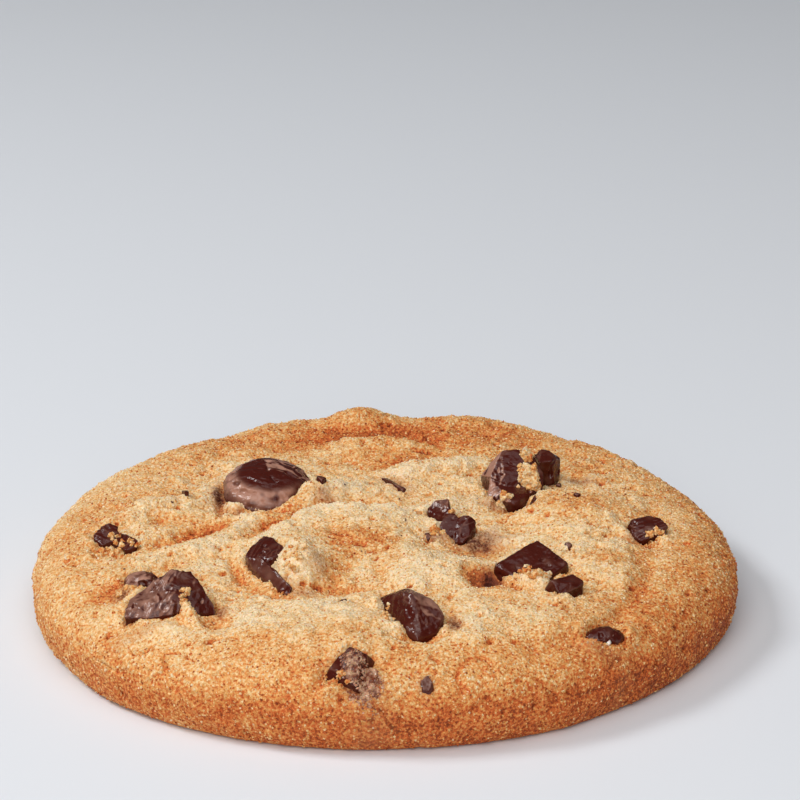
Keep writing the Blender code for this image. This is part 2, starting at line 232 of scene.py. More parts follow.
# Where a pale film lies on the faces that turn a given way: mostly painted sheen, standing for the
# reflection of the key light, partly grey cocoa-butter bloom. The bearing and the rise it faces, and how strongly.
SHEEN_AND_BLOOM = {
    "back_chunk": (190, 36, 1.8),
    "back_crumb": (160, 60, 0.2),
    "middle_chunk": (190, 50, 0.6),
    "middle_lump": (100, 50, 0.3),
    "crescent_chip": (200, 28, 0.2),
    "peak_chunk": (218, 45, 0.7),
    "peak_offcut": (230, 60, 1.1),
    "front_drop": (5, 62, 0.9),
    "square_offcut": (140, 50, 0.4),
    "left_chip": (140, 60, 0.35),
    "chocolate_shards": (250, 60, 0.4),
}

# Chocolate melted into the dough: centre, half sizes, turn, and how strong.
SMEARS = (
    # The first smear, in the gap on the round chip's left, is partly stain and partly painted shade.
    ((-21.4, 9.4), (1.1, 4.8), 4, 1.1),
    ((-18.0, 4.2), (3.0, 0.8), -10, 0.7),
    ((-7.2, 5.6), (2.2, 1.2), -35, 0.7),
    ((6.8, -5.6), (1.8, 1.4), -10, 0.8),
    ((11.6, -6.2), (3.4, 2.0), -5, 1.0),
    ((13.0, -4.8), (2.8, 1.5), -8, 0.8),
    ((13.1, -17.8), (1.3, 1.8), 10, 1.3),
    ((10.8, -17.4), (1.2, 2.2), 10, 0.3),
    ((-7.6, -17.8), (1.3, 2.4), 20, 0.45),
    ((-9.6, -22.4), (2.6, 1.2), -30, 0.6),
    ((8.3, -31.0), (1.1, 2.2), 0, 1.0),
    ((-31.6, -20.6), (1.2, 1.4), 0, 0.9),
    ((-29.0, -30.6), (4.0, 1.0), 6, 0.35),
    ((-19.4, -26.6), (1.2, 1.6), 0, 0.8),
    ((26.0, 14.2), (3.4, 1.2), -10, 0.6),
    ((1.6, 12.2), (3.2, 1.6), -50, 0.6),
    ((14.6, 5.6), (2.4, 1.2), 0, 0.7),
    ((-3.0, -41.6), (3.8, 1.7), -30, 0.9),
    ((5.0, -42.2), (1.3, 0.9), 0, 0.7),
    ((31.4, -5.6), (1.6, 0.8), 0, 0.5),
    ((25.6, -33.4), (3.2, 0.8), 5, 0.5),
)

# Where the dough is painted darker or paler than round about, partly for oven browning and partly as
# painted shade on slopes turned from the light: centre, half sizes, turn, how much.
BROWNED_AND_SHADED = (
    ((-2.8, -9.0), (4.8, 3.8), 0, 0.39),
    ((-7.0, -18.6), (2.6, 4.0), 20, 0.1),
    ((24.0, 3.0), (6.5, 5.5), 0, 0.32),
    ((-12.4, 3.2), (5.5, 1.3), 46, 0.3),
    ((1.0, 30.0), (22.0, 8.0), 0, 0.34),
    ((-39.0, -3.0), (5.0, 13.0), 0, 0.12),
    ((-26.0, 26.0), (10.0, 6.0), 40, 0.08),
    ((-13.0, -29.5), (8.0, 4.5), 0, -0.15),
    ((12.0, -18.4), (2.8, 3.0), 0, 0.45),
    ((1.5, 20.5), (6.0, 2.0), 15, 0.25),
    ((14.0, -22.0), (1.6, 2.0), 0, 0.25),
    ((26.6, -13.0), (2.2, 1.8), 0, 0.3),
    ((26.0, 18.0), (4.0, 2.4), 0, 0.15),
    ((-24.0, -2.0), (5.0, 1.2), 35, 0.25),
    ((-24.5, 1.0), (5.0, 3.0), 20, 0.07),
    ((-33.4, -19.0), (3.0, 2.0), 20, 0.25),
    ((12.5, -31.5), (8.0, 3.5), 10, -0.12),
    ((14.0, -40.0), (9.0, 3.0), 15, -0.07),
    ((37.0, -1.0), (3.0, 7.0), 0, -0.1),
    ((-23.0, -37.0), (8.0, 4.0), -35, -0.06),
    ((-30.0, 8.0), (5.0, 6.0), 0, 0.1),
    ((-24.0, -31.5), (3.4, 1.6), 0, -0.15),
    ((-4.0, 0.5), (7.0, 2.4), 10, -0.1),
)

# Small holes in the dough, painted darker inside as shade: centre, half sizes, and depth.
HOLES = (
    ((5.7, -6.8), (0.8, 0.6), 1.8),
    ((-19.8, -34.0), (0.8, 0.5), 1.2),
    ((28.6, 13.6), (0.6, 0.7), 1.0),
    ((13.3, -17.6), (0.9, 0.8), 1.5),
    ((17.4, 5.0), (1.3, 0.9), 1.6),
    ((-4.6, -25.2), (0.5, 0.4), 0.8),
    ((4.6, 24.6), (1.0, 0.4), 0.8),
    ((-19.6, -16.4), (0.5, 0.5), 0.9),
    ((20.6, -26.4), (1.0, 0.3), 0.6),
    ((-6.4, -11.2), (0.6, 0.4), 1.0),
    ((-2.6, -10.4), (0.5, 0.5), 1.0),
    ((-8.2, -21.0), (0.6, 0.5), 1.0),
)

# Crumbs that cling: centre, spread each way, how many, their size, and how browned.
CRUMBS = (
    ((19.5, 9.8), (0.6, 0.6), 16, 1.9, 0.35),
    ((18.7, 12.4), (0.4, 0.3), 9, 1.3, 0.4),
    ((17.8, 9.4), (0.4, 0.8), 16, 0.7, 0.5),
    ((15.6, 6.4), (0.4, 0.3), 8, 1.4, 0.35),
    ((-10.4, -17.6), (0.8, 1.3), 26, 1.1, 0.4),
    ((-12.0, -17.4), (0.4, 0.8), 12, 0.8, 0.45),
    ((18.8, -20.4), (1.3, 0.6), 30, 1.2, 0.4),
    ((18.7, -19.0), (1.1, 0.4), 30, 1.0, 0.32),
    ((-23.6, -26.2), (0.3, 0.9), 9, 0.9, 0.5),
    ((0.6, -29.8), (0.3, 1.2), 12, 0.8, 0.4),
    ((1.9, -34.4), (0.5, 0.4), 8, 0.8, 0.4),
    ((-32.6, -7.6), (1.1, 0.5), 24, 0.9, 0.5),
    ((-33.8, -5.6), (0.6, 0.4), 7, 0.7, 0.5),
    ((-6.5, -40.6), (0.3, 0.8), 12, 0.6, 0.5),
    ((-5.4, -42.7), (0.9, 0.4), 16, 0.8, 0.55),
    ((34.6, -4.9), (0.9, 0.4), 20, 0.8, 0.5),
    ((26.4, -33.0), (1.2, 0.3), 7, 0.6, 0.4),
    ((6.4, -4.6), (0.6, 0.7), 14, 0.9, 0.5),
    ((9.6, -1.9), (1.1, 0.4), 16, 1.1, 0.5),
    ((-29.4, -19.8), (1.2, 0.35), 12, 0.9, 0.5),
)

# Thin pieces of chocolate that lie in the crumb: the corners of each, and how far it stands out.
SHARDS = (
    (((-0.7, 14.4), (0.4, 14.2), (1.7, 12.4), (3.2, 9.8), (2.6, 9.5), (1.0, 11.4)), 0.35),
    (((-8.9, 8.9), (-7.9, 9.3), (-7.2, 8.2), (-7.9, 7.2), (-8.8, 7.8)), 0.6),
    (((-26.3, 7.7), (-25.3, 7.3), (-25.0, 5.8), (-25.7, 5.5)), 0.8),
    (((4.3, -42.2), (5.4, -41.4), (6.1, -42.2), (5.5, -43.1), (4.6, -43.0)), 0.5),
    (((24.3, 4.0), (24.9, 4.5), (25.4, 3.8), (24.8, 3.4)), 0.3),
    (((22.6, -9.4), (23.2, -9.1), (23.6, -9.9), (23.0, -10.3)), 0.3),
    (((5.0, -5.4), (5.9, -5.0), (6.3, -6.0), (5.4, -6.3)), 0.2),
    (((12.0, -18.8), (12.9, -18.5), (13.3, -19.3), (12.4, -19.6)), 0.2),
    (((18.2, 5.6), (19.4, 5.9), (19.8, 5.2), (18.8, 4.8)), 0.3),
    (((9.6, -8.9), (12.2, -9.2), (12.0, -9.7), (10.4, -9.7)), 0.2),
    (((-5.2, -25.0), (-4.3, -24.8), (-4.1, -25.5), (-4.9, -25.7)), 0.3),
    (((22.4, 12.3), (23.3, 12.2), (23.2, 11.5), (22.5, 11.6)), 0.4),
)

# Specks of chocolate over the top: centre, spread each way, how many, their size, and bloom.
SPECKS = (((0.0, 0.0), (17.0, 17.0), 40, 0.4, 0.3), ((18.4, 4.9), (0.9, 0.3), 3, 0.6, 0.1))

# Clear grains of sugar that lie loose: centre, spread each way, how many, their size, and tone.
SUGAR = (((26.8, -32.4), (0.1, 0.1), 1, 0.7, 0.0), ((4.8, -42.2), (0.1, 0.1), 1, 0.45, 0.0))

CHOCOLATE = [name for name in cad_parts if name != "cookie_dough"]


# Shapes and unevenness.


def ramp(low, high, value):
    """0 up to low, 1 from high on, and a smooth rise between them."""
    share = np.clip((value - low) / (high - low), 0.0, 1.0)
    return share * share * (3.0 - 2.0 * share)


def hashed(cells, seed):
    """A whole number for each cell of a lattice, the same each time."""
    x, y, z = np.moveaxis(cells.astype(np.int64).astype(np.uint64), -1, 0)
    value = x * 73856093 ^ y * 19349663 ^ z * 83492791 ^ (seed + 11) * 2654435761
    value = (value ^ (value >> 15)) * 2246822519 & 0xFFFFFFFF
    value = (value ^ (value >> 13)) * 3266489917 & 0xFFFFFFFF
    return value ^ (value >> 16)


def ripple(points, size, seed):
    """Smooth unevenness from about -1 to 1, its lumps about as wide as size."""
    spots = points / size
    cell = np.floor(spots)
    part = spots - cell
    ease = part**3 * (part * (part * 6 - 15) + 10)
    total = np.zeros(len(points))
    for corner in itertools.product((0, 1), repeat=3):
        number = hashed(cell + corner, seed)
        slope = np.stack([(number >> shift) % 256 / 127.5 - 1 for shift in (0, 8, 16)], axis=-1)
        weight = np.where(corner, ease, 1 - ease).prod(axis=-1)
        total += weight * ((part - corner) * slope).sum(axis=-1)
    return total * 1.4


def lumps(points, size, seed):
    """The distance to the nearest of scattered spots, in sizes, how much further the next one is,
    and a number from 0 to 1 for the nearest."""
    spots = points / size
    cell = np.floor(spots)
    nearest = np.full(len(points), 9.0)
    second = np.full(len(points), 9.0)
    mark = np.zeros(len(points))
    for step in itertools.product((-1, 0, 1), repeat=3):
        number = hashed(cell + step, seed)
        inside = np.stack([(number >> shift) % 1024 / 1023 for shift in (0, 9, 18)], axis=-1)
        gap = np.linalg.norm(spots - cell - step - inside, axis=-1)
        closer = gap < nearest
        second = np.where(closer, nearest, np.minimum(second, gap))
        mark = np.where(closer, (number >> 5) % 1024 / 1023, mark)
        nearest = np.where(closer, gap, nearest)
    return nearest, second - nearest, mark


def swell(x, y, size, seed):
    """The solid's own unevenness."""
    spots = zip(np.ravel(x), np.ravel(y))
    values = [noise.noise(Vector((a / size, b / size, seed))) for a, b in spots]
    return np.reshape(values, np.shape(x))


def reach_of(x, y, centre, half, turn=0):
    """How far out a place is in an ellipse: 1 on its edge."""
    angle = math.radians(turn)
    right = (x - centre[0]) * math.cos(angle) + (y - centre[1]) * math.sin(angle)
    back = (y - centre[1]) * math.cos(angle) - (x - centre[0]) * math.sin(angle)
    return np.hypot(right / half[0], back / half[1])


def mound(x, y, centre, half, high, turn=0, fullness=2.4):
    """A low mound; the fuller it is, the flatter its top and the steeper its sides."""
    return high * np.exp(-MOUND_FALL * reach_of(x, y, centre, half, turn) ** fullness)


def line_gap(x, y, line):
    """The distance to a line of points, the side of it (1 left, -1 right), and the share along it."""
    line = np.array(line, float)
    nearest = np.full(np.shape(x), np.inf)
    side = np.zeros(np.shape(x))
    place = np.zeros(np.shape(x))
    for number, (start, end) in enumerate(zip(line[:-1], line[1:])):
        run = end - start
        length = np.hypot(*run)
        share = np.clip(((x - start[0]) * run[0] + (y - start[1]) * run[1]) / length**2, 0, 1)
        gap = np.hypot(x - start[0] - share * run[0], y - start[1] - share * run[1])
        across = run[0] * (y - start[1]) - run[1] * (x - start[0])
        closer = gap < nearest
        nearest = np.where(closer, gap, nearest)
        side = np.where(closer, np.sign(across), side)
        place = np.where(closer, (number + share) / (len(line) - 1), place)
    return nearest, side, place


def fold(x, y, line, high, left, right):
    """A ridge along a line: it falls away over left on its left side and over right on its right."""
    nearest, side, place = line_gap(x, y, line)
    width = np.where(side > 0, left, right)
    ends = ramp(0.0, FOLD_END_SHARE, place) * ramp(0.0, FOLD_END_SHARE, 1.0 - place)
    crest = high * (FOLD_END_HEIGHT + (1.0 - FOLD_END_HEIGHT) * ends)
    return crest * np.exp(-((nearest / width) ** 2))


def top_relief(x, y):
    """How far the top stands above or below its plain dome."""
    z = SWELL_HEIGHT * swell(x, y, SWELL_SIZE, SWELL_SEED)
    # The middle: a full swell with a sharp back edge, and a smaller one in front of it.
    z += mound(x, y, (-4.0, -5.5), (10.5, 7.5), 1.5, turn=14, fullness=3.4)
    z += fold(x, y, ((-17, -9), (-13, -5), (-10, -0.8), (-7, 1.4), (-3, 0.6), (6, 2.6)), 1.0, 1.8, 3.2)
    z += mound(x, y, (6.5, -17.0), (7.5, 4.6), 1.5, turn=-18, fullness=3)
    z -= mound(x, y, (10.5, -8.0), (5.0, 2.6), 1.4, turn=-12)
    z += mound(x, y, (-10.2, -15.6), (3.5, 4.6), 2.3, turn=-14, fullness=3)
    z -= fold(x, y, ((-12, -23), (-6, -22), (-1, -20), (1, -14.5), (0, -9.5)), 0.8, 1.8, 1.8)
    # The fold in front of the round chip, and the groove behind the middle swell.
    z += fold(x, y, ((-18, -1), (-14.8, 3.2), (-11, 6.2), (-7, 8.8), (-3, 11)), 1.9, 1.9, 2.4)
    z -= fold(x, y, ((-19, -9), (-15, -2.5), (-10, 3.0), (-4, 4.6), (5, 5.6)), 1.1, 1.8, 1.6)
    # Swells to the right of the middle.
    z += mound(x, y, (24.4, 2.6), (6.8, 6.4), 1.9, turn=-24, fullness=3.2)
    z += mound(x, y, (26.8, -11.5), (5.4, 7.4), 1.0, turn=16, fullness=3)
    z -= fold(x, y, ((15.5, 1), (18, 6.8), (23, 10.6), (30, 7.4)), 0.9, 1.6, 1.2)
    z -= mound(x, y, (17.0, 4.4), (3.0, 1.8), 1.2)
    # Diagonal wrinkles on the left.
    z += fold(x, y, ((-36, -1.5), (-30, 3.8), (-26, 5.4), (-21, 8.5)), 1.3, 1.9, 2.6)
    z -= fold(x, y, ((-35, -10.5), (-25.5, -4.2), (-21, -0.8), (-17, 1.5)), 0.9, 1.8, 1.5)
    z += fold(x, y, ((-32, -14.5), (-26, -10.6), (-22, -8.4), (-18.5, -5)), 1.2, 1.9, 2.2)
    z -= mound(x, y, (-33.5, -20.5), (3.4, 3.4), 1.1)
    z -= mound(x, y, (-20.6, -29.5), (3.8, 2.6), 1.2, turn=-30)
    # The broad swells in front, and the shallow groove that follows the rim.
    z += mound(x, y, (-7.5, -31.5), (11.0, 5.6), 1.1, turn=-4, fullness=3)
    z += mound(x, y, (14.5, -28.0), (9.0, 4.6), 0.8, turn=18, fullness=3)
    rim_groove = ((33, -1), (32.5, -12), (31.5, -20), (27.5, -28), (22, -33.5), (15, -36.8), (3, -38))
    z -= fold(x, y, rim_groove, 0.8, 1.6, 1.5)
    # Ridges and rises towards the back.
    z += fold(x, y, ((-2, 14), (4, 16.8), (9, 19), (16, 20.5)), 1.3, 2.0, 1.8)
    z += fold(x, y, ((-9, 25.5), (-2, 27), (8, 26)), 1.0, 1.8, 2.6)
    z += mound(x, y, (-3.2, 38.0), (4.6, 3.6), 2.2, fullness=3)
    z += mound(x, y, (13.0, 38.0), (7.0, 4.0), 0.9)
    z += mound(x, y, (-12.5, 36.5), (4.4, 3.6), 0.8)
    z -= mound(x, y, (-21.5, 33.5), (4.0, 4.0), 0.5)
    return z


def outline_radius(bearing):
    """The disc's radius towards a bearing in radians."""
    radius = np.full(np.shape(bearing), RADIUS)
    for waves, depth, crest in LOBES:
        radius = radius + depth * np.cos(waves * (bearing - math.radians(crest)))
    return radius


def edge_swell(bearing, height_share):
    """How far the side bulges in or out beyond the lobes of the outline."""
    x = RADIUS * np.cos(bearing)
    y = RADIUS * np.sin(bearing)
    return EDGE_SWELL_DEPTH * swell(x, y, EDGE_SWELL_SIZE, EDGE_SWELL_SEED + height_share)


def top_point(reach, bearing):
    """A point on the top or the upper half of the side; reach goes from 0 at the middle to 1."""
    flat = 1.0 - ROLL_SHARE
    widest = WIDEST_SHARE * RIM_HEIGHT
    roll_arc = math.pi / 4 * (ROLL_SHARE * RADIUS + RIM_HEIGHT - widest)
    flat_reach = flat * RADIUS / (flat * RADIUS + roll_arc)
    angle = np.clip((reach - flat_reach) / (1.0 - flat_reach), 0, 1) * math.pi / 2
    share = np.where(reach < flat_reach, reach / flat_reach * flat, flat + ROLL_SHARE * np.sin(angle))
    radius = share * (outline_radius(bearing) + edge_swell(bearing, 1.0) * ramp(flat, 1.0, share))
    x = radius * np.cos(bearing)
    y = radius * np.sin(bearing)
    drop = np.clip(np.cos(angle), 0, 1) ** SHOULDER_FULLNESS
    dome = DOME * (1.0 - ramp(0.0, 0.95, share))
    z = widest + (RIM_HEIGHT - widest + top_relief(x, y) + dome) * drop
    return np.stack((x, y, z), axis=-1)


def side_point(fall, bearing):
    """A point on the lower half of the side; fall goes from 0 at the widest line to 1 at the foot."""
    angle = fall * math.pi / 2
    share = 1.0 - (1.0 - FOOT_SHARE) * (1.0 - math.cos(angle))
    radius = share * (outline_radius(bearing) + edge_swell(bearing, 1.0 - fall))
    z = np.full(len(bearing), WIDEST_SHARE * RIM_HEIGHT * (1.0 - math.sin(angle)))
    return np.stack((radius * np.cos(bearing), radius * np.sin(bearing), z), axis=-1)


# Meshes.


def disc_grid(cells):
    """A square grid drawn out into a disc: each point's reach and bearing, its quads, and its edge."""
    steps = np.linspace(-1.0, 1.0, cells + 1)
    across, along = (side.ravel() for side in np.meshgrid(steps, steps, indexing="ij"))
    disc_x = across * np.sqrt(1.0 - along**2 / 2)
    disc_y = along * np.sqrt(1.0 - across**2 / 2)
    number = np.arange((cells + 1) ** 2).reshape(cells + 1, cells + 1)
    quads = np.stack((number[:-1, :-1], number[1:, :-1], number[1:, 1:], number[:-1, 1:]), axis=-1)
    edge = np.concatenate((number[:-1, 0], number[-1, :-1], number[:0:-1, -1], number[0, :0:-1]))
    return np.minimum(np.hypot(disc_x, disc_y), 1.0), np.arctan2(disc_y, disc_x), quads.reshape(-1, 4), edge


def make_mesh(name, points, faces):
    """A smooth mesh from points in millimetres and faces of one or more kinds."""
    mesh = bpy.data.meshes.new(name)
    mesh.from_pydata(points * MM, [], [face for kind in faces for face in kind.tolist()])
    mesh.validate()
    mesh.shade_smooth()
    return mesh


def points_of(mesh):
    """A mesh's points in millimetres."""
    flat = np.empty(len(mesh.vertices) * 3, np.float32)
    mesh.vertices.foreach_get("co", flat)
    return flat.reshape(-1, 3).astype(float) / MM


def normals_of(mesh):
    """The way out of the surface at each point."""
    flat = np.empty(len(mesh.vertices) * 3, np.float32)
    mesh.vertices.foreach_get("normal", flat)
    return flat.reshape(-1, 3).astype(float)


def move_points(mesh, points):
    """Puts a mesh's points where they are given, in millimetres."""
    mesh.vertices.foreach_set("co", (points * MM).astype(np.float32).ravel())
    mesh.update()


def paint(mesh, name, values):
    """Gives each point of a mesh a number that its material reads."""
    layer = mesh.attributes.new(name, "FLOAT", "POINT")
    layer.data.foreach_set("value", np.clip(values, 0, 1).astype(np.float32))


def edges_of(mesh):
    flat = np.empty(len(mesh.edges) * 2, np.int32)
    mesh.edges.foreach_get("vertices", flat)
    return flat.reshape(-1, 2)


def smoothed(values, edges, rounds):
    """Each point's value evened out with its neighbours', again and again."""
    count = np.bincount(edges.ravel(), minlength=len(values)).astype(float)
    columns = values.reshape(len(values), -1).copy()
    for _ in range(rounds):
        for column in columns.T:
            total = np.bincount(edges[:, 0], column[edges[:, 1]], len(values))
            total += np.bincount(edges[:, 1], column[edges[:, 0]], len(values))
            column += 0.7 * (total / count - column)
    return columns.reshape(values.shape)


def add_piece(name, mesh, material, replaced=()):
    """Puts a finished mesh in the scene as a piece of the cookie."""
    mesh.materials.clear()
    mesh.materials.append(material)
    piece = bpy.data.objects.new(name, mesh)
    bpy.context.scene.collection.objects.link(piece)
    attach(piece, "root")
    if replaced:
        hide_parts(*replaced)
    return piece


# Chocolate.


def fine_skin(name, bm, cell, rounds=2):
    """An even, fine skin over a body in millimetres, eased so many rounds, as a mesh."""
    rough = bpy.data.meshes.new(name + "_rough")
    bm.to_mesh(rough)
    bm.free()
    holder = bpy.data.objects.new(name + "_rough", rough)
    bpy.context.scene.collection.objects.link(holder)
    skin = holder.modifiers.new("skin", "REMESH")
    skin.mode = "VOXEL"
    skin.voxel_size = cell
    graph = bpy.context.evaluated_depsgraph_get()
    mesh = bpy.data.meshes.new_from_object(holder.evaluated_get(graph))
    mesh.name = name
    bpy.data.objects.remove(holder)
    bpy.data.meshes.remove(rough)
    points = np.empty(len(mesh.vertices) * 3, np.float32)
    mesh.vertices.foreach_get("co", points)
    move_points(mesh, smoothed(points.reshape(-1, 3).astype(float), edges_of(mesh), rounds))
    mesh.shade_smooth()
    return mesh


def solid_of(node):
    """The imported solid's own body, in millimetres."""
    bm = bmesh.new()
    bm.from_mesh(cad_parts[node].data)
    bmesh.ops.remove_doubles(bm, verts=bm.verts, dist=1e-6)
    bmesh.ops.scale(bm, vec=(1 / MM,) * 3, verts=bm.verts)
    return bm


def body_between(*corner_sets):
    """Bodies with flat facets between their corners, one for each set of corners."""
    bm = bmesh.new()
    for corners in corner_sets:
        made = [bm.verts.new(corner) for corner in corners]
        loose = bmesh.ops.convex_hull(bm, input=made)
        bmesh.ops.delete(bm, geom=list(set(loose["geom_interior"] + loose["geom_unused"])), context="VERTS")
    bmesh.ops.recalc_face_normals(bm, faces=bm.faces)
    return bm


def broken(points, breaks):
    """Takes flat faces off a lump, each with a slightly rounded edge."""
    for bearing, rise, depth in breaks:
        way = way_to(bearing, rise)
        reach = points @ way
        limit = reach.max() - depth
        kept = (reach + limit - np.hypot(reach - limit, BREAK_ROUNDING)) / 2
        points = points + way * (kept - reach)[:, None]
    return points


def way_to(bearing, rise):
    """The direction at a bearing and a rise in degrees."""
    flat = math.cos(math.radians(rise))
    turned = math.radians(bearing)
    return np.array((flat * math.cos(turned), flat * math.sin(turned), math.sin(math.radians(rise))))


def wrinkled(points, bearing, spacing, seed):
    """Long narrow ridges from 0 to 1 that run along a bearing."""
    along = points @ way_to(bearing, 0)
    across = points @ way_to(bearing + 90, 0)
    drawn = np.stack((along * 0.16, across, 0.6 * points[:, 2]), axis=-1)
    return 1.0 - np.abs(ripple(drawn + 0.35 * ripple(points, 2.5, seed + 1)[:, None], spacing, seed))


def weathered(mesh, name):
    """Gives a piece of chocolate its chipped edges, its wrinkles, its bloom, and a painted sheen on its wrinkle
    crests and on faces turned to the light.
    """
    points = points_of(mesh)
    relief = 0.16 * ripple(points, 2.2, 3) + 0.06 * ripple(points, 0.6, 4)
    relief -= 0.3 / (1 + 0.1 * MELTED.get(name, 0)) * ramp(0.3, 0.6, ripple(points, 1.3, 10))
    folds = np.zeros(len(points))
    if name in WRINKLES:
        bearing, spacing, height = WRINKLES[name]
        folds = wrinkled(points, bearing, spacing, 6) * ramp(-0.5, 0.2, ripple(points, 3.0, 8))
        relief += height * (folds - 0.7)
    move_points(mesh, points + normals_of(mesh) * relief[:, None])
    # Bloom in random patches, and a painted highlight along the crests of the wrinkles.
    bloom_and_sheen = 0.15 * ramp(0.0, 0.8, ripple(points, 1.6, 5)) + 0.2 * ramp(0.88, 1.0, folds)
    if name in SHEEN_AND_BLOOM:
        bearing, rise, strength = SHEEN_AND_BLOOM[name]
        # Painted sheen: faces turned this way are paled, standing for the key light's reflection; partly grey
        # bloom.
        facing = normals_of(mesh) @ way_to(bearing, rise)
        bloom_and_sheen += strength * ramp(0.78, 0.93, facing) * (0.7 + 0.7 * ripple(points, 1.1, 11))
    paint(mesh, "bloom_and_sheen", bloom_and_sheen)
    return mesh


def chocolate_mesh(node):
    """A piece of chocolate: its facets, its broken faces and its weathered skin."""
    low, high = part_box(node)
    body = body_between(*CORNERS[node]) if node in CORNERS else solid_of(node)
    cell = 0.11 if max((high - low)[:2]) > 6 * MM else 0.08
    mesh = fine_skin(node, body, cell, MELTED.get(node, 2))
    move_points(mesh, broken(points_of(mesh), BREAKS.get(node, ())))
    weathered(mesh, node)
    if node == "coin_chip":
        points = points_of(mesh)
        middle = (low + high) / 2 / MM
        reach = reach_of(points[:, 0], points[:, 1], middle[:2], (5.9, 5.7))
        bearing = np.arctan2(points[:, 1] - middle[1], points[:, 0] - middle[0])
        ring = np.exp(-(((reach - 0.84) / 0.12) ** 2)) * ramp(-0.8, 0.3, np.cos(bearing - math.radians(215)))
        # Grey bloom in a ring round the lower left, and painted highlights along fine creases on the upper right.
        creased = wrinkled(points, -12, 0.6, 6) * ramp(-0.6, 0.8, np.cos(bearing - math.radians(50)))
        film = 1.5 * ring * ramp(-0.8, 0.1, ripple(points, 1.2, 9)) + 1.1 * ramp(0.8, 0.96, creased)
        mesh.attributes.remove(mesh.attributes["bloom_and_sheen"])
        paint(mesh, "bloom_and_sheen", film)
    return mesh


def shard_mesh(ground):
    """The thin pieces of chocolate that lie in the crumb, as one mesh."""
    sets = []
    for corners, height in SHARDS:
        under = [ground.ray_cast(Vector((x, y, 30.0)), Vector((0, 0, -1)))[0] for x, y in corners]
        middle = np.mean(corners, axis=0)
        crown = [(*(0.8 * np.array(spot[:2]) + 0.2 * middle), spot.z + height) for spot in under]
        sets.append(crown + [(spot.x, spot.y, spot.z - 0.5) for spot in under])
    return weathered(fine_skin("chocolate_shards", body_between(*sets), 0.09), "chocolate_shards")


# Dough.


def dough_skin():
    """The dough's even skin: top, side and underside as one closed body."""
    reach, bearing, top_quads, top_edge = disc_grid(TOP_CELLS)
    points = [top_point(reach, bearing)]
    faces = [top_quads]
    ring = top_edge
    count = len(reach)
    for number in range(1, SIDE_RINGS + 1):
        points.append(side_point(number / SIDE_RINGS, bearing[top_edge]))
        below = np.arange(count, count + len(ring))
        count += len(ring)
        faces.append(np.stack((ring, below, np.roll(below, -1), np.roll(ring, -1)), axis=-1))
        ring = below
    reach, bearing, base_quads, base_edge = disc_grid(TOP_CELLS // 2)
    radius = reach * (FOOT_SHARE * outline_radius(bearing) - BASE_INSET)
    points.append(np.stack((radius * np.cos(bearing), radius * np.sin(bearing), 0 * reach), axis=-1))
    faces.append(base_quads[:, ::-1] + count)
    inner = base_edge + count
    onward = np.roll(inner, -1)
    outer, middle, last = ring[::2], ring[1::2], np.roll(ring, -2)[::2]
    for corners in ((outer, inner, middle), (middle, inner, onward), (middle, onward, last)):
        faces.append(np.stack(corners, axis=-1))
    return make_mesh("baked_cookie", np.concatenate(points), faces)


def crumb_relief(points, share):
    """The crumb's own relief, from wrinkles a few millimetres wide down to sandy grains, and how far
    each point lies in a pore or a crack."""
    lively = 1.0 - 0.5 * ramp(0.7, 0.92, share)
    relief = 0.3 * lively * ripple(points, 5.2, 19) + 0.42 * lively * ripple(points, 3.2, 21)
    relief += 0.36 * lively * ripple(points, 1.6, 22)
    near, _, _ = lumps(points, 1.1, 23)
    relief += 0.34 * lively * (0.55 - near) + 0.14 * ripple(points, 0.8, 24)
    pits, _, mark = lumps(points, 2.2, 25)
    pore = lively * ramp(0.26, 0.1, pits) * (mark > 0.45)
    crack = ramp(0.06, 0.0, np.abs(ripple(points, 4.5, 27))) * ramp(0.15, 0.4, ripple(points, 6.0, 28))
    return relief - 0.9 * pore - 0.5 * crack, np.maximum(pore, 0.2 * crack)


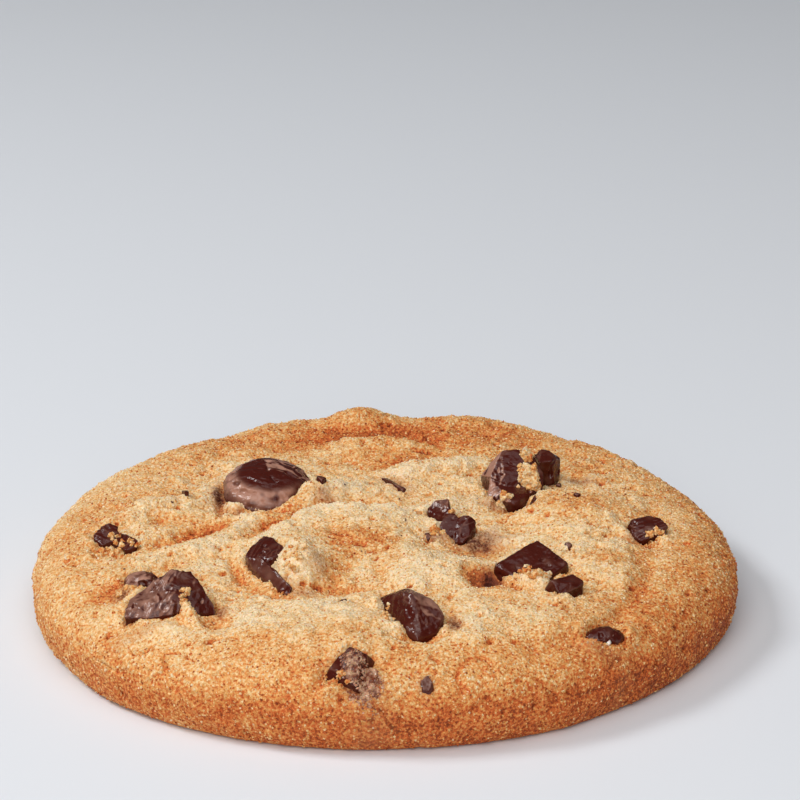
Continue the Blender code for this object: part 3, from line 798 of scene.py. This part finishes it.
def dough_mesh(chocolate):
    """The dough with its crumb relief, collars round the chocolate, the marks of its baking, and painted shade in
    its hollows, grooves, holes and pores and on its side away from the key light.
    """
    mesh = dough_skin()
    points = points_of(mesh)
    edges = edges_of(mesh)
    x, y = points[:, 0], points[:, 1]
    share = np.hypot(x, y) / RADIUS
    upper = ramp(0.2, 1.6, points[:, 2])
    top = points[:, 2] > 6
    for centre, half, height, turn in CRUMB_RISES:
        points[:, 2] += top * mound(x, y, centre, half, height, turn, fullness=3)
    plain = points.copy()
    relief, pores = crumb_relief(points, share)
    points += normals_of(mesh) * (relief * (0.25 + 0.75 * upper))[:, None]
    gap = chocolate_gap(points, chocolate)
    collar = 0.3 + 0.8 * ripple(points, 2.2, 26)
    raised = collar * np.exp(-(((gap - 0.8) / 0.7) ** 2)) - 0.5 * np.exp(-((gap / 0.35) ** 2))
    holes = np.zeros(len(points))
    stray_x = x + 0.5 * ripple(points, 1.0, 29)
    stray_y = y + 0.5 * ripple(points, 1.0, 30)
    for centre, half, depth in HOLES:
        holes = np.maximum(holes, mound(stray_x, stray_y, centre, half, depth, fullness=3.5))
    points[:, 2] += upper * raised - holes * top
    points[:, 2] = np.maximum(points[:, 2], 0.0)
    move_points(mesh, points)
    broad = smoothed(points, edges, 20)
    hollow = ((broad - points) * normals_of(mesh)).sum(axis=-1)
    wide = smoothed(plain, edges, 160)
    valley = wide[:, 2] - plain[:, 2]
    bearing = np.arctan2(y, x)
    baked = 0.27 + 0.18 * ramp(0.5, 0.9, share) + 0.24 * ramp(9.5, 3.0, points[:, 2])
    # Painted shade and light: the rim darker towards the front right, away from the key light, and paler towards
    # the back left.
    baked += 0.17 * ramp(0.7, 1.0, share) * np.cos(bearing - math.radians(-40))
    # Painted shade: darker in small hollows and in holes and pores; painted light: paler on small crests.
    baked += 0.16 * np.clip(hollow / 0.4, -0.4, 1.5) + (0.5 * holes + 0.5 * pores) * top
    # Painted shade: darker down in the wide grooves of the top.
    baked += 0.16 * np.clip(valley / 0.6, -0.4, 1) * ramp(0.9, 0.7, share)
    # Listed patches of browning and of painted shade.
    for centre, half, turn, amount in BROWNED_AND_SHADED:
        baked += amount * np.exp(-reach_of(stray_x, stray_y, centre, half, turn) ** 2.5) * top
    paint(mesh, "baked", baked)
    cloud = ramp(-0.6, 0.4, ripple(points, 0.9, 32))
    melt = 0.8 * ramp(0.7, 0.0, gap) * ramp(-0.3, 0.4, ripple(points, 2.0, 31)) * cloud
    for centre, half, turn, strength in SMEARS:
        smear = strength * np.exp(-reach_of(stray_x, stray_y, centre, half, turn) ** 2.5) * (0.75 + 0.25 * cloud)
        melt = np.maximum(melt, smear)
    paint(mesh, "melt", melt * upper)
    return mesh


def chocolate_gap(points, chocolate):
    """How far each point of the dough is from the nearest chocolate."""
    gap = np.full(len(points), 9.0)
    for mesh in chocolate:
        solid = points_of(mesh)
        tree = BVHTree.FromPolygons(solid.tolist(), [tuple(face.vertices) for face in mesh.polygons])
        low = solid.min(axis=0) - 3
        high = solid.max(axis=0) + 3
        close = np.nonzero(((points > low) & (points < high)).all(axis=-1))[0]
        for number in close:
            found = tree.find_nearest(points[number].tolist())
            gap[number] = min(gap[number], found[3])
    return gap


# Loose grains.


def crystal_shape():
    """The points and sides of an eight-sided grain one across."""
    points = np.vstack((np.eye(3), -np.eye(3))) / 2
    sides = []
    for x, y, z in itertools.product((0, 3), (1, 4), (2, 5)):
        outward = np.linalg.det(points[[x, y, z]]) > 0
        sides.append((x, y, z) if outward else (x, z, y))
    return points, np.array(sides)


def grain_field(name, host, count, size, sunk, tone, seed):
    """Grains half sunk in the dough all over its top and side, joined into one mesh."""
    chance = np.random.default_rng(seed)
    shape, sides = crystal_shape()
    area = np.empty(len(host.polygons), np.float32)
    host.polygons.foreach_get("area", area)
    corners = np.array([face.vertices[:3] for face in host.polygons])
    points = points_of(host)
    normals = normals_of(host)
    area *= points[corners].mean(axis=1)[:, 2] > 0.4
    picked = chance.choice(len(corners), count, p=area / area.sum())
    weights = chance.dirichlet((1, 1, 1), count)
    spots = (points[corners[picked]] * weights[..., None]).sum(axis=1)
    way = (normals[corners[picked]] * weights[..., None]).sum(axis=1)
    turn = np.linalg.qr(chance.normal(size=(count, 3, 3)))[0]
    sizes = size * chance.uniform(0.7, 1.3, (count, 1, 3)) * chance.uniform(0.6, 1.2, (count, 1, 1))
    grains = np.einsum("nij,nkj->nki", turn, shape[None] * sizes)
    grains += (spots + way * size * (chance.uniform(-0.15, 0.15, (count, 1)) - sunk))[:, None]
    faces = sides[None] + len(shape) * np.arange(count)[:, None, None]
    mesh = make_mesh(name, grains.reshape(-1, 3), [faces.reshape(-1, 3)])
    mesh.shade_flat()
    for layer in ("baked", "melt"):
        values = np.empty(len(host.vertices), np.float32)
        host.attributes[layer].data.foreach_get("value", values)
        value = (values[corners[picked]] * weights).sum(axis=1)
        if layer == "baked":
            value = value + chance.normal(tone, 0.13, count)
        paint(mesh, layer, np.repeat(value, len(shape)))
    return mesh


def lump_shape(fineness):
    """The points and sides of a round lump one across."""
    bm = bmesh.new()
    bmesh.ops.create_icosphere(bm, subdivisions=fineness, radius=0.5)
    points = np.array([point.co for point in bm.verts])
    sides = np.array([[point.index for point in face.verts] for face in bm.faces])
    bm.free()
    return points, sides


def ground_under(meshes):
    """A tree to find the top of the cookie under any place."""
    points, faces = [], []
    for mesh in meshes:
        start = sum(map(len, points))
        points.append(points_of(mesh))
        faces += [tuple(start + corner for corner in face.vertices) for face in mesh.polygons]
    return BVHTree.FromPolygons(np.concatenate(points).tolist(), faces)


def clinging_lumps(name, clusters, ground, fineness, layer, seed):
    """Irregular lumps in clusters, each resting on what is under it, joined into one mesh."""
    chance = np.random.default_rng(seed)
    shape, sides = lump_shape(fineness)
    points, faces, tones = [], [], []
    for centre, spread, count, size, tone in clusters:
        for number in range(count):
            x, y = chance.normal(centre, spread)
            across = size * (1.0 if number == 0 else chance.uniform(0.35, 0.85))
            hit = ground.ray_cast(Vector((x, y, 30.0)), Vector((0, 0, -1)))[0]
            if hit is None:
                continue
            turn = np.linalg.qr(chance.normal(size=(3, 3)))[0]
            lump = shape * chance.uniform(0.6, 1.3, 3) * across
            lump *= 1 + 0.9 * ripple(lump + 9 * number, 0.5 * across, seed)[:, None]
            lump += shape * 0.3 * min(across, 1.0) * ripple(lump + 9 * number, 0.4, seed + 1)[:, None]
            faces.append(sides + sum(map(len, points)))
            points.append(lump @ turn.T + (x, y, hit.z + 0.08 * across))
            tones.append(np.full(len(shape), tone + chance.normal(0, 0.1)))
    mesh = make_mesh(name, np.concatenate(points), faces)
    paint(mesh, layer, np.concatenate(tones))
    return mesh


def sugar_crust(name, ground, centre, half, turn, count, size, seed):
    """Sugar grains stuck to whatever lies in an ellipse, joined into one mesh."""
    chance = np.random.default_rng(seed)
    shape, sides = crystal_shape()
    spots = []
    angle = math.radians(turn)
    while len(spots) < count:
        across, along = chance.uniform(-1, 1, 2)
        if math.hypot(across, along) > 1 - 0.3 * chance.uniform():
            continue
        right, back = across * half[0], along * half[1]
        x = centre[0] + right * math.cos(angle) - back * math.sin(angle)
        y = centre[1] + right * math.sin(angle) + back * math.cos(angle)
        hit = ground.ray_cast(Vector((x, y, 30.0)), Vector((0, 0, -1)))[0]
        if hit is not None:
            spots.append(hit)
    turns = np.linalg.qr(chance.normal(size=(count, 3, 3)))[0]
    grains = np.einsum("nij,nkj->nki", turns, shape[None] * size * chance.uniform(0.5, 1.3, (count, 1, 3)))
    grains += np.array(spots)[:, None]
    faces = sides[None] + len(shape) * np.arange(count)[:, None, None]
    mesh = make_mesh(name, grains.reshape(-1, 3), [faces.reshape(-1, 3)])
    mesh.shade_flat()
    return mesh


# Materials.


def linear(code):
    """An sRGB hex colour as linear light."""
    channels = (int(code[at : at + 2], 16) / 255 for at in (1, 3, 5))
    return tuple(c / 12.92 if c <= 0.04045 else ((c + 0.055) / 1.055) ** 2.4 for c in channels) + (1.0,)


def add(tree, kind, links=(), **settings):
    """Adds a node with its settings, and links or sets its inputs."""
    node = tree.nodes.new(kind)
    for name, value in settings.items():
        setattr(node, name, value)
    for socket, source in dict(links).items():
        if isinstance(source, bpy.types.NodeSocket):
            tree.links.new(source, node.inputs[socket])
        else:
            node.inputs[socket].default_value = source
    return node


def new_material(name):
    """An empty material, its node tree and its shader."""
    material = bpy.data.materials.new(name)
    material.use_nodes = True
    return material, material.node_tree, material.node_tree.nodes["Principled BSDF"]


def grain_size(millimetres):
    """The scale that gives a pattern this size on a model in metres."""
    return 1.0 / (millimetres * MM)


def grade(ramp_node, *stops):
    """Sets the colours along a colour ramp."""
    for along, _ in stops[2:]:
        ramp_node.color_ramp.elements.new(along)
    for element, (along, code) in zip(ramp_node.color_ramp.elements, stops):
        element.position = along
        element.color = linear(code)


def baked_dough():
    """Baked sugar dough: a matt, sandy crumb, pale where flour and sugar show, browned by the oven, and darker
    where painted shade lies in hollows, holes and grooves.
    """
    material, tree, shader = new_material("baked_dough")
    place = add(tree, "ShaderNodeTexCoord").outputs["Object"]
    baked = add(tree, "ShaderNodeAttribute", attribute_name="baked").outputs["Fac"]
    melt = add(tree, "ShaderNodeAttribute", attribute_name="melt").outputs["Fac"]
    patches = add(tree, "ShaderNodeTexNoise", {"Vector": place, "Scale": grain_size(4.0), "Detail": 4.0})
    specks = add(
        tree, "ShaderNodeTexNoise", {"Vector": place, "Scale": grain_size(0.36), "Detail": 2.0, "Roughness": 0.6}
    )
    tone = baked
    for pattern, weight in ((patches, 0.42), (specks, 1.3)):
        centred = add(
            tree, "ShaderNodeMath", {0: pattern.outputs["Fac"], 1: 0.5}, operation="SUBTRACT"
        ).outputs[0]
        tone = add(
            tree, "ShaderNodeMath", {0: centred, 1: weight, 2: tone}, operation="MULTIPLY_ADD"
        ).outputs[0]
    colour = add(tree, "ShaderNodeValToRGB", {"Fac": tone})
    grade(colour, (0.0, "#F3DFBD"), (0.3, "#EAC691"), (0.52, "#DC9D57"), (0.78, "#C86128"), (1.0, "#853C1A"))
    uneven = add(
        tree, "ShaderNodeMath", {0: specks.outputs["Fac"], 1: 1.0, 2: 0.5}, operation="MULTIPLY_ADD"
    ).outputs[0]
    melt = add(tree, "ShaderNodeMath", {0: melt, 1: uneven}, operation="MULTIPLY", use_clamp=True).outputs[0]
    stain = add(tree, "ShaderNodeValToRGB", {"Fac": melt})
    grade(stain, (0.0, "#C58550"), (0.5, "#9C5A3A"), (0.85, "#6A3322"), (1.0, "#582719"))
    smeared = add(
        tree,
        "ShaderNodeMix",
        {0: melt, 6: colour.outputs["Color"], 7: stain.outputs["Color"]},
        data_type="RGBA",
    )
    tree.links.new(smeared.outputs[2], shader.inputs["Base Color"])
    grit = add(
        tree, "ShaderNodeTexNoise", {"Vector": place, "Scale": grain_size(0.4), "Detail": 2.0}
    ).outputs["Fac"]
    bump = add(tree, "ShaderNodeBump", {"Height": grit, "Distance": 0.00028, "Strength": 1.0})
    tree.links.new(bump.outputs[0], shader.inputs["Normal"])
    shader.inputs["Roughness"].default_value = 0.75
    shader.inputs["Specular IOR Level"].default_value = 0.3
    shader.inputs["Subsurface Weight"].default_value = 0.15
    shader.inputs["Subsurface Radius"].default_value = (1.0, 0.4, 0.15)
    shader.inputs["Subsurface Scale"].default_value = 0.7 * MM
    return material


def dark_chocolate():
    """Dark chocolate, broken and half melted: satin, with a faint grey bloom and a pale painted sheen on faces
    turned to the light.
    """
    material, tree, shader = new_material("dark_chocolate")
    place = add(tree, "ShaderNodeTexCoord").outputs["Object"]
    bloom_and_sheen = add(tree, "ShaderNodeAttribute", attribute_name="bloom_and_sheen").outputs["Fac"]
    # The pale colour is grey bloom and painted sheen, as the attribute carries them.
    film = add(
        tree, "ShaderNodeMix", {0: bloom_and_sheen, 6: linear("#46140B"), 7: linear("#A67A68")}, data_type="RGBA"
    )
    tree.links.new(film.outputs[2], shader.inputs["Base Color"])
    wear = add(tree, "ShaderNodeTexNoise", {"Vector": place, "Scale": grain_size(0.8), "Detail": 3.0})
    gloss = add(tree, "ShaderNodeMapRange", {"Value": wear.outputs["Fac"], "To Min": 0.08, "To Max": 0.3})
    tree.links.new(gloss.outputs[0], shader.inputs["Roughness"])
    bump = add(
        tree, "ShaderNodeBump", {"Height": wear.outputs["Fac"], "Distance": 0.0002, "Strength": 0.7}
    )
    tree.links.new(bump.outputs[0], shader.inputs["Normal"])
    shader.inputs["Specular IOR Level"].default_value = 0.35
    return material


def sugar_finish(name, coated, clear):
    """Sugar crystals, half coated and half clear: small bright facets with a little light inside."""
    material, tree, shader = new_material(name)
    place = add(tree, "ShaderNodeTexCoord").outputs["Object"]
    grains = add(tree, "ShaderNodeTexNoise", {"Vector": place, "Scale": grain_size(0.6), "Detail": 1.0})
    share = add(
        tree, "ShaderNodeMapRange", {"Value": grains.outputs["Fac"], "From Min": 0.4, "From Max": 0.62}
    )
    mixed = add(
        tree, "ShaderNodeMix", {0: share.outputs[0], 6: linear(coated), 7: linear(clear)}, data_type="RGBA"
    )
    tree.links.new(mixed.outputs[2], shader.inputs["Base Color"])
    shader.inputs["Roughness"].default_value = 0.25
    shader.inputs["Subsurface Weight"].default_value = 0.3
    shader.inputs["Subsurface Scale"].default_value = 0.3 * MM
    return material


def floor_paper():
    """Matt white paper."""
    material, tree, shader = new_material("matt_paper")
    shader.inputs["Base Color"].default_value = linear("#E2E7EE")
    shader.inputs["Roughness"].default_value = 0.9
    return material


# Studio.


def add_softbox(name, place, aim, size, power, tint="#FFFFFF"):
    """A soft light with straight edges."""
    lamp = bpy.data.lights.new(name, "AREA")
    lamp.shape = "RECTANGLE"
    lamp.size, lamp.size_y = size
    lamp.energy = power
    lamp.color = linear(tint)[:3]
    light = bpy.data.objects.new(name, lamp)
    light.location = place
    light.rotation_euler = (Vector(aim) - Vector(place)).to_track_quat("-Z", "Y").to_euler()
    bpy.context.scene.collection.objects.link(light)


def make_studio():
    """A pale floor, a large soft light from behind on the left, a weaker one in front, and the camera."""
    mesh = bpy.data.meshes.new("floor")
    bm = bmesh.new()
    bmesh.ops.create_grid(bm, x_segments=1, y_segments=1, size=3.0)
    bm.to_mesh(mesh)
    bm.free()
    mesh.materials.append(floor_paper())
    floor = bpy.data.objects.new("floor", mesh)
    floor.location.z = -0.00005
    bpy.context.scene.collection.objects.link(floor)
    add_softbox("key", (-0.56, 0.04, 0.6), (0, 0, 0), (0.26, 0.22), 3.0)
    add_softbox("fill", (-0.1, -0.75, 0.5), (0, 0, 0), (0.7, 0.7), 4.9, "#FFF7F0")
    add_softbox("overhead", (0, -0.25, 0.8), (0, 0, 0), (0.9, 0.9), 2.7)
    world = bpy.data.worlds.new("studio")
    world.use_nodes = True
    world.node_tree.nodes["Background"].inputs["Color"].default_value = (1, 1, 1, 1)
    world.node_tree.nodes["Background"].inputs["Strength"].default_value = 0.085
    bpy.context.scene.world = world
    camera = bpy.data.objects.new("camera", bpy.data.cameras.new("camera"))
    camera.data.lens = 135
    camera.data.sensor_width = 36
    camera.data.clip_start = 0.01
    camera.location = (0.00213, -0.3534, 0.1573)
    camera.rotation_euler = (math.radians(69.81), 0, 0)
    bpy.context.scene.collection.objects.link(camera)
    bpy.context.scene.camera = camera
    bpy.context.scene.view_settings.view_transform = "Standard"


make_studio()
chocolate_finish = dark_chocolate()
dough_finish = baked_dough()
chocolate_meshes = [chocolate_mesh(node) for node in CHOCOLATE]
for node, mesh in zip(CHOCOLATE, chocolate_meshes):
    add_piece(node + "_piece", mesh, chocolate_finish, [node])
dough = dough_mesh(chocolate_meshes)
add_piece("baked_cookie", dough, dough_finish, ["cookie_dough"])
ground = ground_under([dough, *chocolate_meshes])
crumbs = clinging_lumps("clinging_crumbs", CRUMBS, ground, 3, "baked", 51)
paint(crumbs, "melt", 0.3 * ramp(0.2, 0.8, ripple(points_of(crumbs), 1.4, 55)))
add_piece("clinging_crumbs", crumbs, dough_finish)
sandy = grain_field("sandy_grains", crumbs, 3600, 0.3, 0.1, -0.05, 44)
add_piece("sandy_grains", sandy, dough_finish)
add_piece("chocolate_shards", shard_mesh(ground), chocolate_finish)
specks = clinging_lumps("chocolate_specks", SPECKS, ground, 2, "bloom_and_sheen", 52)
add_piece("chocolate_specks", specks, chocolate_finish)
crust = sugar_crust("stuck_sugar", ground, (-2.2, -42.1), (2.8, 1.9), -36, 850, 0.4, 53)
add_piece("stuck_sugar", crust, sugar_finish("clouded_sugar", "#7E4834", "#D0A182"))
loose = clinging_lumps("clear_sugar", SUGAR, ground, 1, "tone", 54)
add_piece("clear_sugar", loose, sugar_finish("clear_sugar", "#E6D2C0", "#F7EEE4"))
for name, count, size, sunk, tone, seed in GRAINS:
    add_piece(name, grain_field(name, dough, count, size, sunk, tone, seed), dough_finish)
